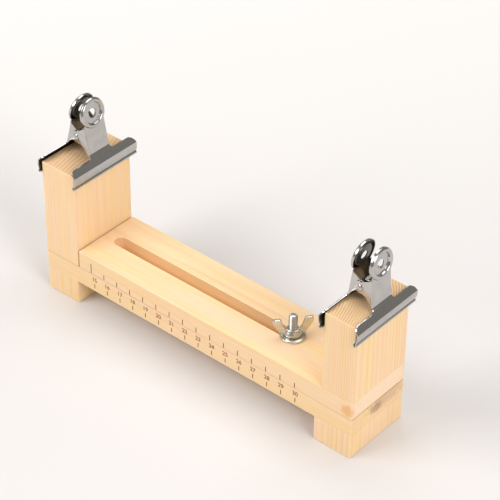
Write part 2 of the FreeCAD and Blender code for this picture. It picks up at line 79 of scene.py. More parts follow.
# ---- Sizes and colours a user may change ------------------------------------------------------
class JigPineSettings(bpy.types.PropertyGroup):
    pale: FloatVectorProperty(
        name="Earlywood", description="Colour between the rings", subtype="COLOR",
        size=3, min=0, max=1, default=(0.90, 0.66, 0.415))
    ring: FloatVectorProperty(
        name="Latewood", description="Colour of the ring lines", subtype="COLOR",
        size=3, min=0, max=1, default=(0.76, 0.47, 0.24))
    end: FloatVectorProperty(
        name="End grain", description="Colour that sawn ends lean to", subtype="COLOR",
        size=3, min=0, max=1, default=(0.74, 0.47, 0.26))
    ring_spacing: FloatProperty(
        name="Ring spacing", description="Width of one year's growth", default=0.0021,
        min=0.0005, max=0.01, precision=4, subtype="DISTANCE", unit="LENGTH")
    fibre_width: FloatProperty(
        name="Fibre width", description="Width of the finest streaks", default=0.00035,
        min=0.0001, max=0.002, precision=5, subtype="DISTANCE", unit="LENGTH")
    roughness: FloatProperty(
        name="Roughness", description="Roughness of the planed faces", default=0.5, min=0, max=1)


class JigMarkSettings(bpy.types.PropertyGroup):
    burnt: FloatVectorProperty(
        name="Burnt mark", description="Colour of the ticks and numbers", subtype="COLOR",
        size=3, min=0, max=1, default=(0.19, 0.075, 0.03))
    first_number: IntProperty(
        name="First number", description="Number at the left end of the scale", default=15, min=0)
    count: IntProperty(
        name="Numbers", description="How many numbers the scale has", default=16, min=1, max=40)
    first_from_post: FloatProperty(
        name="First from post", description="Left post's face to the first number",
        default=0.0127, precision=4, subtype="DISTANCE", unit="LENGTH")
    pitch: FloatProperty(
        name="Scale pitch", description="One number to the next", default=0.00988,
        precision=4, subtype="DISTANCE", unit="LENGTH")
    drop: FloatProperty(
        name="Drop", description="Seam down to the middle of the numbers", default=0.0033,
        precision=4, subtype="DISTANCE", unit="LENGTH")
    height: FloatProperty(
        name="Number height", description="Height of the digits", default=0.0029,
        precision=4, subtype="DISTANCE", unit="LENGTH")


class JigClampSettings(bpy.types.PropertyGroup):
    zinc: FloatVectorProperty(
        name="Zinc", description="Colour of the zinc plate", subtype="COLOR",
        size=3, min=0, max=1, default=(0.68, 0.67, 0.61))
    thread_pitch: FloatProperty(
        name="Thread pitch", description="Rise of one turn of the thread", default=0.0008,
        precision=5, subtype="DISTANCE", unit="LENGTH")
    thread_depth: FloatProperty(
        name="Thread depth", description="Crest to root", default=0.00045,
        precision=5, subtype="DISTANCE", unit="LENGTH")
    wing_turn: FloatProperty(
        name="Wing turn", description="Direction of the tightened wings from +X",
        default=math.radians(51), subtype="ANGLE", unit="ROTATION")
    casting_grain: FloatProperty(
        name="Remesh size", description="Fineness of the cast nut's surface", default=0.00017,
        precision=5, subtype="DISTANCE", unit="LENGTH")


class JigClipSettings(bpy.types.PropertyGroup):
    nickel: FloatVectorProperty(
        name="Nickel", description="Colour of the plated jaws", subtype="COLOR",
        size=3, min=0, max=1, default=(0.56, 0.55, 0.53))
    sheet: FloatProperty(
        name="Sheet", description="Thickness of the jaws' steel", default=0.0006,
        precision=5, subtype="DISTANCE", unit="LENGTH")
    bar_length: FloatProperty(
        name="Bar length", description="Length of the gripping lip", default=0.05,
        precision=4, subtype="DISTANCE", unit="LENGTH")
    outer_neck: FloatProperty(
        name="Outer neck", description="Width over the outer jaw's lugs", default=0.017,
        precision=4, subtype="DISTANCE", unit="LENGTH")
    inner_neck: FloatProperty(
        name="Inner neck", description="Width over the inner jaw's lugs", default=0.0154,
        precision=4, subtype="DISTANCE", unit="LENGTH")
    ear_radius: FloatProperty(
        name="Ear radius", description="Outside radius of the round grips", default=0.00895,
        precision=5, subtype="DISTANCE", unit="LENGTH")
    spring_turns: IntProperty(
        name="Spring turns", description="Turns of the torsion spring", default=8, min=2, max=14)
    spring_wire: FloatProperty(
        name="Spring wire", description="Diameter of the spring's wire", default=0.001,
        precision=4, subtype="DISTANCE", unit="LENGTH")


class JigStageSettings(bpy.types.PropertyGroup):
    floor: FloatVectorProperty(
        name="Floor", description="Colour of the plain floor", subtype="COLOR",
        size=3, min=0, max=1, default=(0.71, 0.685, 0.675))
    key_power: FloatProperty(
        name="Front light", description="Power of the soft front light", default=18.5,
        min=0, subtype="POWER", unit="POWER")
    side_power: FloatProperty(
        name="Side light", description="Power of the soft side light", default=17.5,
        min=0, subtype="POWER", unit="POWER")
    back_power: FloatProperty(
        name="Back light", description="Power of the soft overhead light", default=15.0,
        min=0, subtype="POWER", unit="POWER")
    sky: FloatProperty(
        name="Room light", description="Strength of the even light all round", default=0.275, min=0)


# ---- Working by hand, in code -----------------------------------------------------------------
def only(piece):
    """Select one object alone and make it active."""
    bpy.ops.object.select_all(action="DESELECT")
    piece.select_set(True)
    bpy.context.view_layer.objects.active = piece
    return piece


def named(piece, name):
    piece.name = name
    piece.data.name = name
    return piece


def edit(piece):
    only(piece)
    bpy.ops.object.mode_set(mode="EDIT")


def done():
    bpy.ops.object.mode_set(mode="OBJECT")


def pick(piece, kind, test):
    """In edit mode, select the vertices, edges or faces that a test accepts."""
    bpy.ops.mesh.select_mode(type={"verts": "VERT", "edges": "EDGE", "faces": "FACE"}[kind])
    bpy.ops.mesh.select_all(action="DESELECT")
    mesh = bmesh.from_edit_mesh(piece.data)
    for item in getattr(mesh, kind):
        if test(item):
            item.select_set(True)
    mesh.select_flush_mode()
    bmesh.update_edit_mesh(piece.data)


def chain(name, points):
    """A wire of vertices drawn from point to point, in millimetres."""
    bpy.ops.object.select_all(action="DESELECT")
    bpy.ops.mesh.primitive_plane_add(size=1)
    wire = named(bpy.context.object, name)
    bpy.ops.object.mode_set(mode="EDIT")
    bpy.ops.mesh.select_mode(type="VERT")
    bpy.ops.mesh.select_all(action="SELECT")
    bpy.ops.mesh.merge(type="CENTER")
    bpy.ops.transform.translate(value=points[0])
    for start, end in zip(points, points[1:]):
        step = Vector(end) - Vector(start)
        bpy.ops.mesh.extrude_vertices_move(TRANSFORM_OT_translate={"value": step})
    return wire


def tidy_shell():
    bpy.ops.mesh.select_all(action="SELECT")
    bpy.ops.mesh.remove_doubles(threshold=0.0005)
    bpy.ops.mesh.normals_make_consistent(inside=False)


def modified(piece, kind, **settings):
    """Add a modifier with the given settings and apply it."""
    only(piece)
    modifier = piece.modifiers.new(kind.title(), kind)
    for key, value in settings.items():
        setattr(modifier, key, value)
    bpy.ops.object.modifier_apply(modifier=modifier.name)
    return piece


def duplicated(piece):
    """A copy of a piece with its own mesh."""
    other = piece.copy()
    other.data = piece.data.copy()
    bpy.context.collection.objects.link(other)
    return other


def combined(piece, tool, operation):
    """A boolean of two closed pieces, after which the tool is thrown away."""
    modified(piece, "BOOLEAN", object=tool, operation=operation, solver="EXACT")
    bpy.data.objects.remove(tool)
    return piece


def joined(name, pieces):
    bpy.ops.object.select_all(action="DESELECT")
    for piece in pieces:
        piece.select_set(True)
    bpy.context.view_layer.objects.active = pieces[0]
    bpy.ops.object.join()
    return named(bpy.context.object, name)


def settled(piece, place, turn=Matrix.Identity(4)):
    """Turn a piece drawn in millimetres, set it at its place in metres and fix that in its mesh."""
    only(piece)
    piece.matrix_world = Matrix.Translation(place) @ turn @ Matrix.Scale(MM, 4)
    bpy.ops.object.transform_apply(location=True, rotation=True, scale=True)
    return piece


def smoothed(piece, degrees=35):
    only(piece)
    bpy.ops.object.shade_smooth_by_angle(angle=math.radians(degrees))
    return piece


def finished(piece, material, body, slot, *nodes):
    """Give a piece its body and hide the nodes it stands for.

    The material is added only where the piece has none yet. The slot argument is not used.
    """
    if not piece.data.materials:
        piece.data.materials.append(material)
    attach(piece, body)
    if nodes:
        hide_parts(*nodes)


def lathe(name, outline, steps=96, closed=True):
    """Spin an (r, z) outline once round Z. A closed outline makes a ring."""
    points = [(r, 0, z) for r, z in outline]
    if closed:
        points.append(points[0])
    piece = chain(name, points)
    bpy.ops.mesh.select_all(action="SELECT")
    bpy.ops.mesh.remove_doubles(threshold=0.0005)
    bpy.ops.mesh.select_all(action="SELECT")
    bpy.ops.mesh.spin(steps=steps, angle=math.tau, center=(0, 0, 0), axis=(0, 0, 1))
    tidy_shell()
    done()
    return piece


def slab(name, outline, way, depth):
    """Fill a closed outline of points in millimetres and pull it out to a prism."""
    piece = chain(name, outline + outline[:1])
    bpy.ops.mesh.select_all(action="SELECT")
    bpy.ops.mesh.remove_doubles(threshold=0.0005)
    bpy.ops.mesh.select_all(action="SELECT")
    bpy.ops.mesh.edge_face_add()
    step = Vector(way) * depth
    bpy.ops.mesh.extrude_region_move(TRANSFORM_OT_translate={"value": step})
    bpy.ops.mesh.select_all(action="SELECT")
    bpy.ops.mesh.normals_make_consistent(inside=False)
    done()
    return piece


def rounded(points, radii, steps=6):
    """A route of 2-D points with its inner corners rounded to the given radii."""
    route = [Vector(point) for point in points]
    out = [route[0]]
    for before, corner, after, radius in zip(route, route[1:], route[2:], radii):
        back = (before - corner).normalized()
        ahead = (after - corner).normalized()
        half = back.angle(ahead) / 2
        reach = radius / math.tan(half)
        centre = corner + (back + ahead).normalized() * (radius / math.sin(half))
        start = corner + back * reach - centre
        sweep = start.angle_signed(corner + ahead * reach - centre)
        for number in range(steps + 1):
            out.append(centre + Matrix.Rotation(-sweep * number / steps, 2) @ start)
    out.append(route[-1])
    return [(point.x, point.y) for point in out]


# ---- Materials ----------------------------------------------------------------------------------
class Nodes:
    """A material's node tree, with short calls for the nodes used here."""

    def __init__(self, name):
        self.material = bpy.data.materials.new(name)
        self.material.use_nodes = True
        self.tree = self.material.node_tree
        self.shader = self.tree.nodes["Principled BSDF"]
        self.coords = self.tree.nodes.new("ShaderNodeTexCoord")

    def add(self, kind, **values):
        node = self.tree.nodes.new("ShaderNode" + kind)
        for key, value in values.items():
            setattr(node, key, value)
        return node

    def link(self, source, target):
        self.tree.links.new(source, target)

    def feed(self, socket, value):
        if isinstance(value, bpy.types.NodeSocket):
            self.link(value, socket)
        else:
            socket.default_value = value

    def math(self, operation, *inputs):
        node = self.add("Math", operation=operation)
        for socket, value in zip(node.inputs, inputs):
            self.feed(socket, value)
        return node.outputs[0]

    def mapped(self, place=(0, 0, 0), turn=(0, 0, 0), scale=(1, 1, 1), source=None):
        node = self.add("Mapping")
        self.link(source or self.coords.outputs["Object"], node.inputs["Vector"])
        node.inputs["Location"].default_value = place
        node.inputs["Rotation"].default_value = turn
        node.inputs["Scale"].default_value = scale
        return node.outputs[0]

    def split(self, vector):
        node = self.add("SeparateXYZ")
        self.link(vector, node.inputs[0])
        return node.outputs

    def noise(self, vector, scale, detail=2.0, roughness=0.5):
        node = self.add("TexNoise")
        self.link(vector, node.inputs["Vector"])
        node.inputs["Scale"].default_value = scale
        node.inputs["Detail"].default_value = detail
        node.inputs["Roughness"].default_value = roughness
        return node.outputs["Fac"]

    def ramp(self, value, *stops):
        node = self.add("ValToRGB")
        self.link(value, node.inputs[0])
        marks = node.color_ramp.elements
        while len(marks) < len(stops):
            marks.new(0.5)
        for mark, (place, level) in zip(marks, stops):
            mark.position = place
            mark.color = (level, level, level, 1)
        return node.outputs[0]

    def remap(self, value, from_low, from_high, to_low, to_high):
        node = self.add("MapRange")
        self.feed(node.inputs[0], value)
        for socket, level in zip(node.inputs[1:5], (from_low, from_high, to_low, to_high)):
            socket.default_value = level
        return node.outputs[0]

    def mix(self, share, first, second):
        node = self.add("Mix", data_type="RGBA", blend_type="MIX")
        self.feed(node.inputs[0], share)
        self.feed(node.inputs[6], first if isinstance(first, bpy.types.NodeSocket) else (*first, 1))
        self.feed(node.inputs[7], second if isinstance(second, bpy.types.NodeSocket) else (*second, 1))
        return node.outputs[2]

    def between(self, value, start, end):
        above = self.math("GREATER_THAN", value, start)
        below = self.math("LESS_THAN", value, end)
        return self.math("MULTIPLY", above, below)

    def bump(self, height, distance, strength=1.0):
        node = self.add("Bump")
        node.inputs["Strength"].default_value = strength
        node.inputs["Distance"].default_value = distance
        self.link(height, node.inputs["Height"])
        self.link(node.outputs[0], self.shader.inputs["Normal"])


def pine(
        name, grain, pith, settings, growth=1.0, bold=0.62, ends=0.25, patches=(),
        burnt=None, groove=None, slotted=False):
    """Planed pine. The grain runs along "X" or "Z", and pith is the tree's middle across it.

    growth is this block's ring spacing as a share of the setting, bold the strength of its rings, and
    ends how far its sawn ends darken. patches are soft stains, each with a place, radii, tone, share
    and whether only the ring lines take it. groove is the (low z, high z) band of the front face that
    holds burnt ticks, and slotted wood has a routed slot whose inside gets a deeper orange as painted shade.
    """
    nodes = Nodes(name)
    turn = (0, 0, 0) if grain == "Z" else (0, math.pi / 2, 0)
    log = nodes.mapped(turn=turn)
    stretched = nodes.mapped(place=(pith[0] * 7, pith[1] * 5, 0.3), scale=(1, 1, 0.03), source=log)
    wander = nodes.noise(nodes.mapped(scale=(1, 1, 0.16), source=log), 26, 1.5)
    across = nodes.mapped(place=(-pith[0], -pith[1], 0), scale=(1, 1, 0), source=log)
    length = nodes.add("VectorMath", operation="LENGTH")
    nodes.link(across, length.inputs[0])
    radius = nodes.math("ADD", length.outputs["Value"], nodes.remap(wander, 0, 1, -0.0022, 0.0022))
    years = nodes.math("DIVIDE", radius, settings.ring_spacing * growth)
    uneven = nodes.noise(nodes.mapped(scale=(1, 1, 0), place=(1.7, 0, 0), source=log), 90, 1.0)
    years = nodes.math("ADD", years, nodes.remap(uneven, 0, 1, -0.45, 0.45))
    part = nodes.math("FRACT", years)
    line = nodes.ramp(part, (0.0, 0.0), (0.52, 0.10), (0.86, 0.85), (0.95, 1.0), (1.0, 0.0))
    weight = nodes.noise(nodes.mapped(scale=(1, 1, 0.05), place=(0.4, 0.9, 0), source=log), 55, 1.0)
    rings = nodes.math("MULTIPLY", line, nodes.remap(weight, 0.32, 0.68, 0.18, 1.0))
    fibre = nodes.noise(stretched, 1 / settings.fibre_width, 3.0, 0.62)
    streak = nodes.noise(stretched, 0.16 / settings.fibre_width, 2.0)
    broad = nodes.noise(
        nodes.mapped(place=(0.9, 0.2, 0), source=stretched), 0.05 / settings.fibre_width, 1.0)
    patch = nodes.noise(log, 17, 2.0)
    facing = nodes.split(nodes.coords.outputs["Normal"])[0 if grain == "X" else 2]
    sawn = nodes.remap(nodes.math("ABSOLUTE", facing), 0.75, 0.95, 0.0, 1.0)
    pale = Vector(settings.pale)
    colour = nodes.mix(
        nodes.remap(broad, 0.42, 0.66, 0.0, 0.85), pale, pale * Vector((1.0, 1.03, 0.80)))
    colour = nodes.mix(
        nodes.remap(patch, 0.45, 0.75, 0.0, 0.7), colour, pale * Vector((1.04, 0.98, 1.14)))
    colour = nodes.mix(
        nodes.remap(streak, 0.40, 0.75, 0.0, 0.7), colour, pale * Vector((1.0, 0.88, 0.70)))
    colour = nodes.mix(nodes.math("MULTIPLY", rings, bold), colour, settings.ring)
    colour = nodes.mix(nodes.remap(fibre, 0.52, 0.86, 0.0, 0.38), colour, settings.ring)
    end_tone = nodes.mix(rings, settings.end, (0.26, 0.115, 0.045))
    colour = nodes.mix(nodes.math("MULTIPLY", sawn, ends), colour, end_tone)
    for place, radii, tone, share, lines_only in patches:
        spot = nodes.mapped(place=[-at / r for at, r in zip(place, radii)], scale=[1 / r for r in radii])
        away = nodes.add("VectorMath", operation="LENGTH")
        nodes.link(spot, away.inputs[0])
        ragged = nodes.noise(nodes.coords.outputs["Object"], 420, 2.0)
        away = nodes.math("ADD", away.outputs["Value"], nodes.remap(ragged, 0.2, 0.8, -0.3, 0.3))
        cover = nodes.remap(away, 0.45, 1.0, share, 0.0)
        if lines_only:
            cover = nodes.math("MULTIPLY", cover, line)
        colour = nodes.mix(cover, colour, tone)
    x, y, z = nodes.split(nodes.coords.outputs["Object"])
    # Painted shade: a dark brown line along the seam height, where the gap between the blocks lies in shade,
    # stronger on sawn ends.
    joint = nodes.math("ABSOLUTE", nodes.math("SUBTRACT", z, SEAM_Z))
    seam_gap_shade = nodes.math(
        "MULTIPLY", nodes.remap(joint, 0.2 * MM, 0.7 * MM, 0.8, 0.0),
        nodes.remap(sawn, 0, 1, 0.22, 1.0))
    colour = nodes.mix(seam_gap_shade, colour, (0.24, 0.12, 0.06))
    height = nodes.math("ADD", nodes.math("MULTIPLY", fibre, 0.7), nodes.math("MULTIPLY", rings, 0.5))
    rough = nodes.remap(fibre, 0.2, 0.8, settings.roughness - 0.06, settings.roughness + 0.1)
    if groove:
        deep = nodes.between(y, FRONT_Y + 0.05 * MM, FRONT_Y + 0.4 * MM)
        band = nodes.between(z, groove[0], groove[1])
        inside = nodes.between(x, POST_FACE_X + 8 * MM, high("lower_rail")[0] - 8 * MM)
        mark = nodes.math("MULTIPLY", nodes.math("MULTIPLY", deep, band), inside)
        soot = nodes.noise(nodes.coords.outputs["Object"], 1200, 2.0)
        char = nodes.mix(soot, burnt, (0.30, 0.135, 0.055))
        colour = nodes.mix(mark, colour, char)
    if slotted:
        # Painted shade: the slot's sides and floor are tinted a deeper orange, standing in for the shade and
        # bounced light inside the slot.
        middle_band = nodes.between(y, -4.2 * MM, 4.2 * MM)
        below_top = nodes.between(z, SEAM_Z + 0.05 * MM, SLIDE_TOP_Z - 0.05 * MM)
        inside = nodes.between(x, POST_FACE_X + 5 * MM, middle("washer")[0] + 5 * MM)
        painted_slot_shade = nodes.math("MULTIPLY", nodes.math("MULTIPLY", middle_band, below_top), inside)
        colour = nodes.mix(nodes.math("MULTIPLY", painted_slot_shade, 0.45), colour, (0.88, 0.58, 0.31))
    nodes.link(colour, nodes.shader.inputs["Base Color"])
    nodes.link(rough, nodes.shader.inputs["Roughness"])
    nodes.shader.inputs["Specular IOR Level"].default_value = 0.32
    nodes.bump(height, 0.00008, 0.6)
    return nodes.material


def plated(name, colour, roughness, grime, fine):
    """Bright plate on steel: faint cloudiness, hairline scratches and duller patches."""
    nodes = Nodes(name)
    here = nodes.coords.outputs["Object"]
    cloud = nodes.noise(here, 260, 3.0)
    scratch = nodes.noise(nodes.mapped(turn=(0.4, 0.7, 0.2), scale=(1, 1, 0.03)), 9000, 2.0)
    speck = nodes.noise(here, 3200, 2.0)
    dull = tuple(level * 0.72 for level in colour)
    shade = nodes.mix(nodes.remap(cloud, 0.35, 0.8, 0.0, grime), colour, dull)
    nodes.link(shade, nodes.shader.inputs["Base Color"])
    wear = nodes.math(
        "ADD", nodes.remap(cloud, 0.3, 0.7, 0, 0.07), nodes.remap(scratch, 0.5, 0.8, 0, 0.08))
    nodes.link(nodes.math("ADD", wear, roughness), nodes.shader.inputs["Roughness"])
    nodes.shader.inputs["Metallic"].default_value = 1.0
    height = nodes.math("ADD", nodes.math("MULTIPLY", scratch, 0.5), speck)
    nodes.bump(height, fine, 0.5)
    return nodes.material


def burnt_mark(settings):
    """Laser-burnt wood: dark brown, paler where the burn is shallow."""
    nodes = Nodes("burnt marks")
    here = nodes.coords.outputs["Object"]
    depth = nodes.noise(here, 1900, 2.0)
    fibre = nodes.noise(nodes.mapped(scale=(0.08, 1, 1)), 5200, 2.0)
    pale = tuple(min(1.0, level * 1.9) for level in settings.burnt)
    colour = nodes.mix(nodes.remap(depth, 0.3, 0.7, 0, 1), settings.burnt, pale)
    nodes.link(colour, nodes.shader.inputs["Base Color"])
    nodes.link(nodes.remap(fibre, 0.2, 0.8, 0.75, 0.95), nodes.shader.inputs["Roughness"])
    nodes.bump(fibre, 0.00005, 0.6)
    return nodes.material


# ---- Wood -----------------------------------------------------------------------------------------
class JIG_OT_pine(bpy.types.Operator):
    """Finish the rails, posts and feet as planed pine"""
    bl_idname = "jig.pine"
    bl_label = "Pine Blocks"

    def execute(self, context):
        wood = context.scene.jig_pine
        marks = context.scene.jig_marks
        upper = (SEAM_Z + 0.5 * MM, SEAM_Z + 8 * MM)
        lower = (SEAM_Z - 10 * MM, SEAM_Z - 4 * MM)
        right_end = high("lower_rail")[0]
        front_end = (right_end - 3 * MM, FRONT_Y, SEAM_Z + 5 * MM)
        resin = [
            ((right_end, 0, SEAM_Z + 6 * MM), (4 * MM, 34 * MM, 15 * MM),
             (0.93, 0.72, 0.54), 0.7, False),
            (front_end, (5 * MM, 3 * MM, 5 * MM), (0.80, 0.40, 0.14), 0.75, False),
        ]
        knots = [
            ((right_end, 8 * MM, SEAM_Z - 2.5 * MM), (3 * MM, 19 * MM, 6.5 * MM),
             (0.28, 0.14, 0.07), 0.95, True),
            ((right_end, -1 * MM, SEAM_Z - 4.5 * MM), (2 * MM, 6.5 * MM, 4 * MM),
             (0.36, 0.21, 0.14), 0.65, False),
        ]
        finishes = {
            "lower_rail": pine(
                "pine lower rail", "X", (0.059, -0.034), wood, 0.7, 0.45, 0.12, knots,
                marks.burnt, lower),
            "upper_rail": pine(
                "pine upper rail", "X", (-0.060, -0.012), wood, 1.0, 0.35, 0.12, resin,
                marks.burnt, upper, True),
            # Left post: its high ends share darkens its top, partly end grain and partly painted shade of the
            # clip's shadow.
            "left_post": pine("pine left post", "Z", (-0.185, -0.030), wood, 1.15, 0.2, 0.65),
            "right_post": pine("pine right post", "Z", (0.035, -0.040), wood, 0.72, 0.62, 0.6),
            "left_foot": pine("pine left foot", "Z", (-0.050, 0.070), wood, 1.2, 0.35),
            "right_foot": pine("pine right foot", "Z", (0.064, -0.060), wood, 1.2, 0.5),
        }
        for node, material in finishes.items():
            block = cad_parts[node]
            block.data.materials.clear()
            block.data.materials.append(material)
        return {"FINISHED"}


class JIG_OT_numbers(bpy.types.Operator):
    """Burn the scale's numbers into the lower rail's front"""
    bl_idname = "jig.numbers"
    bl_label = "Scale Numbers"

    def execute(self, context):
        marks = context.scene.jig_marks
        digits = []
        for count in range(marks.count):
            bpy.ops.object.select_all(action="DESELECT")
            bpy.ops.object.text_add()
            text = bpy.context.object
            text.data.body = str(marks.first_number + count)
            text.data.align_x = "CENTER"
            text.data.align_y = "CENTER"
            text.data.size = marks.height * 1.36 / MM
            text.data.extrude = 0.02
            text.data.offset = 0.07
            text.data.resolution_u = 4
            bpy.ops.object.convert(target="MESH")
            text = bpy.context.object
            x = POST_FACE_X + marks.first_from_post + count * marks.pitch
            place = (x, FRONT_Y - 0.01 * MM, SEAM_Z - marks.drop)
            digits.append(settled(text, place, Matrix.Rotation(math.pi / 2, 4, "X")))
        numbers = joined("scale_numbers", digits)
        finished(numbers, burnt_mark(marks), "base", "pine_rails")
        return {"FINISHED"}


# ---- Clamp ----------------------------------------------------------------------------------------
def thread(name, crest, root, pitch, bottom, top):
    """A screw thread's solid from bottom to top, in millimetres."""
    flank = (crest - root) * 0.62
    start = bottom - pitch
    outline = [
        (root, 0, start),
        (root, 0, start + 0.12 * pitch),
        (crest, 0, start + 0.12 * pitch + flank),
        (crest, 0, start + 0.24 * pitch + flank),
        (root, 0, start + pitch),
    ]
    piece = chain(name, outline)
    done()
    turns = math.ceil((top - bottom) / pitch) + 2
    modified(
        piece, "SCREW", axis="Z", angle=math.tau, screw_offset=pitch, iterations=turns,
        steps=40, render_steps=40, use_merge_vertices=True, merge_threshold=0.0005)
    edit(piece)
    for height, way in ((bottom, -1), (top, 1)):
        bpy.ops.mesh.select_all(action="SELECT")
        bpy.ops.mesh.bisect(
            plane_co=(0, 0, height), plane_no=(0, 0, way), use_fill=True, clear_outer=True)
    pick(
        piece, "faces",
        lambda face: face.calc_center_median().z > top - 0.001 and face.normal.z ** 2 > 0.9)
    bpy.ops.mesh.extrude_region_move(TRANSFORM_OT_translate={"value": (0, 0, 0.35)})
    bpy.ops.transform.resize(value=(0.84, 0.84, 1))
    bpy.ops.mesh.inset(thickness=0.45, depth=0)
    bpy.ops.mesh.inset(thickness=0.5, depth=-0.12)
    bpy.ops.mesh.select_all(action="SELECT")
    bpy.ops.mesh.normals_make_consistent(inside=False)
    done()
    return piece


class JIG_OT_carriage_bolt(bpy.types.Operator):
    """Model the threaded carriage bolt"""
    bl_idname = "jig.carriage_bolt"
    bl_label = "Carriage Bolt"

    def execute(self, context):
        clamp = context.scene.jig_clamp
        centre = middle("carriage_bolt")
        bottom = low("carriage_bolt")[2]
        length = (high("carriage_bolt")[2] - bottom) / MM
        head = lathe("bolt_head", [
            (0.01, 0), (2.2, 0.12), (3.9, 0.62), (5.2, 1.45), (5.86, 2.35), (6.0, 2.62),
            (5.86, 2.8), (2.0, 2.8), (0.01, 2.8),
        ], 72)
        neck = slab("bolt_neck", [
            (-2.58, -2.58, 2.7), (2.58, -2.58, 2.7), (2.58, 2.58, 2.7), (-2.58, 2.58, 2.7),
        ], (0, 0, 1), 3.6)
        modified(neck, "BEVEL", width=0.35, segments=3, limit_method="ANGLE")
        depth = clamp.thread_depth / MM
        shank = thread("bolt_thread", 2.48, 2.48 - depth, clamp.thread_pitch / MM, 5.5, length - 0.4)
        bolt = joined("threaded_bolt", [shank, neck, head])
        settled(bolt, (centre.x, centre.y, bottom))
        smoothed(bolt, 32)
        finished(bolt, bpy.data.materials["zinc plate"], "base", "zinc_clamp", "carriage_bolt")
        return {"FINISHED"}


class JIG_OT_washer(bpy.types.Operator):
    """Model the punched washer"""
    bl_idname = "jig.washer"
    bl_label = "Washer"

    def execute(self, context):
        centre = middle("washer")
        height = (high("washer")[2] - low("washer")[2]) / MM
        ring = lathe("flat_washer", [
            (2.66, 0.12), (2.78, 0), (7.05, 0), (7.2, 0.1), (7.24, height - 0.34),
            (7.12, height - 0.1), (6.9, height), (2.95, height), (2.74, height - 0.08), (2.66, height - 0.28),
        ], 96)
        settled(ring, (centre.x, centre.y, low("washer")[2]))
        smoothed(ring, 50)
        finished(ring, bpy.data.materials["zinc plate"], "clamp_washer", "zinc_clamp", "washer")
        return {"FINISHED"}


class JIG_OT_wing_nut(bpy.types.Operator):
    """Model the cast wing nut"""
    bl_idname = "jig.wing_nut"
    bl_label = "Wing Nut"

    def execute(self, context):
        clamp = context.scene.jig_clamp
        centre = middle("wing_nut")
        hub = lathe("nut_hub", [
            (2.58, 0.35), (2.9, 0.02), (4.2, 0.02), (4.6, 0.25), (4.9, 0.9), (4.97, 1.5), (4.85, 2.2),
            (4.5, 2.9), (4.05, 3.5), (3.8, 4.1), (3.5, 4.5), (3.1, 4.6), (2.58, 4.25),
        ], 96)
        wing = slab("nut_wing", [
            (3.0, -1.05, 0.7), (5.6, -1.05, 0.8), (7.6, -1.05, 2.6), (9.6, -1.05, 5.4), (11.35, -1.05, 8.9),
            (11.42, -1.05, 10.3), (10.9, -1.05, 11.1), (10.2, -1.05, 11.28), (7.2, -1.05, 11.2),
            (6.5, -1.05, 10.6), (5.5, -1.05, 7.4), (4.4, -1.05, 5.0), (3.6, -1.05, 3.9), (3.0, -1.05, 3.7),
        ], (0, 1, 0), 2.1)
        modified(
            wing, "BEVEL", width=0.5, segments=3, limit_method="ANGLE",
            angle_limit=math.radians(50))
        other = duplicated(wing)
        only(other)
        other.matrix_world = Matrix.Rotation(math.pi, 4, "Z")
        bpy.ops.object.transform_apply(location=True, rotation=True, scale=True)
        nut = joined("cast_wing_nut", [hub, wing, other])
        modified(nut, "REMESH", mode="VOXEL", voxel_size=clamp.casting_grain / MM, use_smooth_shade=True)
        modified(nut, "SMOOTH", factor=0.5, iterations=7)
        settled(nut, (centre.x, centre.y, low("wing_nut")[2]), Matrix.Rotation(clamp.wing_turn, 4, "Z"))
        finished(nut, bpy.data.materials["zinc plate"], "nut", "zinc_clamp", "wing_nut")
        return {"FINISHED"}


class JIG_OT_wood_screws(bpy.types.Operator):
    """Finish the countersunk wood screws"""
    bl_idname = "jig.wood_screws"
    bl_label = "Wood Screws"

    def execute(self, context):
        for node in ("left_post_screws", "right_post_screws", "left_foot_screws", "right_foot_screws"):
            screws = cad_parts[node]
            screws.data.materials.clear()
            screws.data.materials.append(bpy.data.materials["zinc plate"])
        return {"FINISHED"}


class JIG_OT_plating(bpy.types.Operator):
    """Mix the plated finishes that the metal pieces share"""
    bl_idname = "jig.plating"
    bl_label = "Plated Finishes"

    def execute(self, context):
        plated("zinc plate", tuple(context.scene.jig_clamp.zinc), 0.24, 0.45, 0.000001)
        nickel = tuple(context.scene.jig_clip.nickel)
        plated("nickel plate", nickel, 0.14, 0.45, 0.0000012)
        # Painted shade: the jaws' inward faces get a much darker nickel, standing in for the shade inside the
        # clip.
        plated("nickel inside", tuple(level * 0.3 for level in nickel), 0.3, 0.6, 0.000003)
        plated("spring wire", tuple(level * 0.7 for level in nickel), 0.28, 0.7, 0.00001)
        return {"FINISHED"}


# ---- Clips ----------------------------------------------------------------------------------------
# One half stands in its own frame, in millimetres: X out from the pivot pin, Y along it, Z up.
PLATE_OUT = 6.95
NECK_BEND_Z = -10.5
RIDGE = (10.8, -16.4)
TUCK = (10.2, -20.0)
LIP = (8.555, -23.2)
CURL_RADIUS = 0.8
EAR_UP = 12.9
SHOULDER_Z = -12.6
SHOULDER_STEP = 0.01
# Each side's outer and inner jaw, in degrees from upright when the clip is shut.
GRIP_ANGLES = {"left": (10.814, 13.998), "right": (5.101, 8.111)}
COIL_RADIUS = 2.45
LEG_RUNS = ((2.6, 0.35), (2.2, 0.3))


def curl():
    """The rolled bead round the lip's centre, from its top outwards and under."""
    turns = [math.radians(angle) for angle in range(60, -240, -15)]
    return [(LIP[0] + CURL_RADIUS * math.cos(a), LIP[1] + CURL_RADIUS * math.sin(a)) for a in turns]


